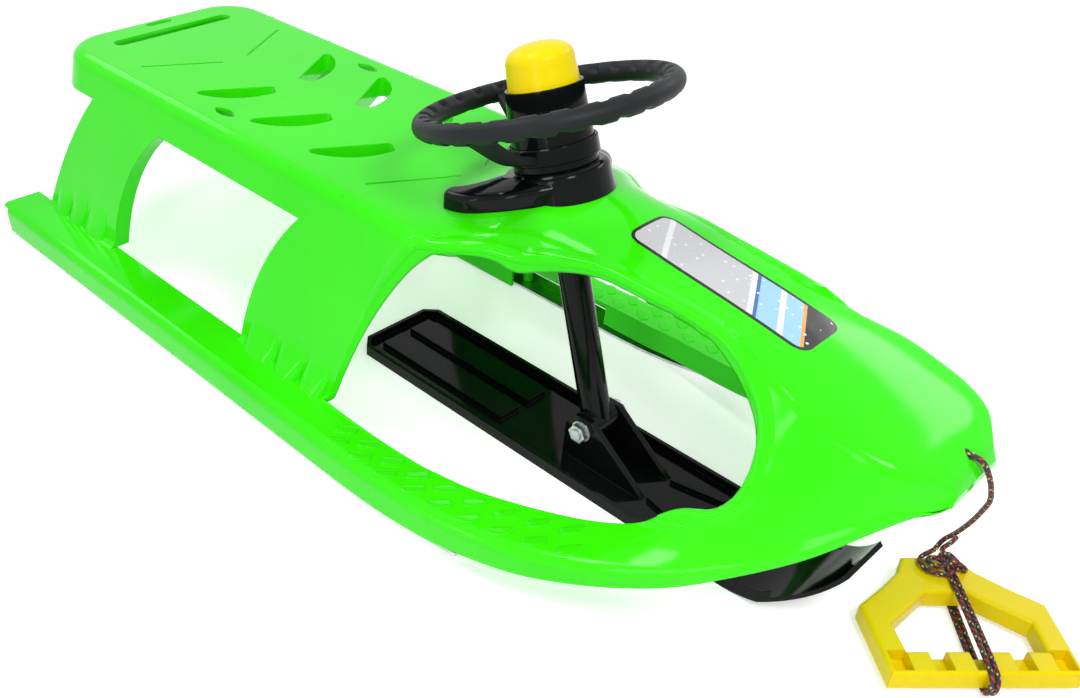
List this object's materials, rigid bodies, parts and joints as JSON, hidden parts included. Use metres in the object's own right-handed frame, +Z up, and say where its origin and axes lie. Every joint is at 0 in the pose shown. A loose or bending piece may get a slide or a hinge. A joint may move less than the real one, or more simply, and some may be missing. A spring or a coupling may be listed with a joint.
{
  "type": "steering sled",
  "caption": "Child's moulded plastic sled on steel runners, steered by a wheel on a raked column that turns a front ski, with a horn and a pull rope.",
  "frame": {"origin": "on the ground under the middle of the moulded body, halfway between the runners' rear ends and the nose", "axes": "+X forward to the nose, +Y to the rider's left, +Z up"},
  "size_m": [1.1392, 0.4012, 0.3565],
  "materials": {
    "green_plastic": "gloss moulded",
    "steel": "bright zinc",
    "black_plastic": "gloss moulded",
    "soft_black_plastic": "matt grip",
    "yellow_plastic": "satin moulded",
    "bush_plastic": "natural",
    "bellows_rubber": "moulded rubber",
    "rope": "braided polyester with bright flecks"
  },
  "bodies": {
    "sled": {"body_shell": "green_plastic", "runner_strip_left": "steel", "runner_strip_right": "steel", "runner_strip_screws": "steel", "column_cover": "black_plastic", "cover_screws": "steel", "upper_bush": "bush_plastic", "lower_bush": "bush_plastic", "pull_rope": "rope", "rope_hitch": "rope", "rope_winding": "rope", "rope_stop_knot": "rope", "pull_handle": "yellow_plastic"},
    "steering": {"steering_column": "black_plastic", "column_keeper": "steel", "wheel_hub": "black_plastic", "hub_screw": "steel", "steering_wheel": "soft_black_plastic", "horn_bellows": "bellows_rubber"},
    "ski": {"front_ski": "black_plastic", "ski_pivot_bolt": "steel", "ski_pivot_nut": "steel", "ski_pivot_washer_left": "steel", "ski_pivot_washer_right": "steel"},
    "horn": {"horn_button": "yellow_plastic", "horn_clip": "steel"}
  },
  "joints": [
    {"name": "steer", "type": "hinge", "parent": "sled", "child": "steering", "pos_m": [0.1195, 0, 0.309], "axis": [-0.3223, 0, 0.9466], "range_deg": [-20, 20]},
    {"name": "ski_pitch", "type": "hinge", "parent": "steering", "child": "ski", "pos_m": [0.21176, 0, 0.038], "axis": [0, 1, 0], "range_deg": [-10, 10]},
    {"name": "horn_press", "type": "slide", "parent": "steering", "child": "horn", "axis": [0.3223, 0, -0.9466], "range_m": [0, 0.006], "stiffness_N_per_m": 800, "deforming": ["horn_bellows"]}
  ]
}
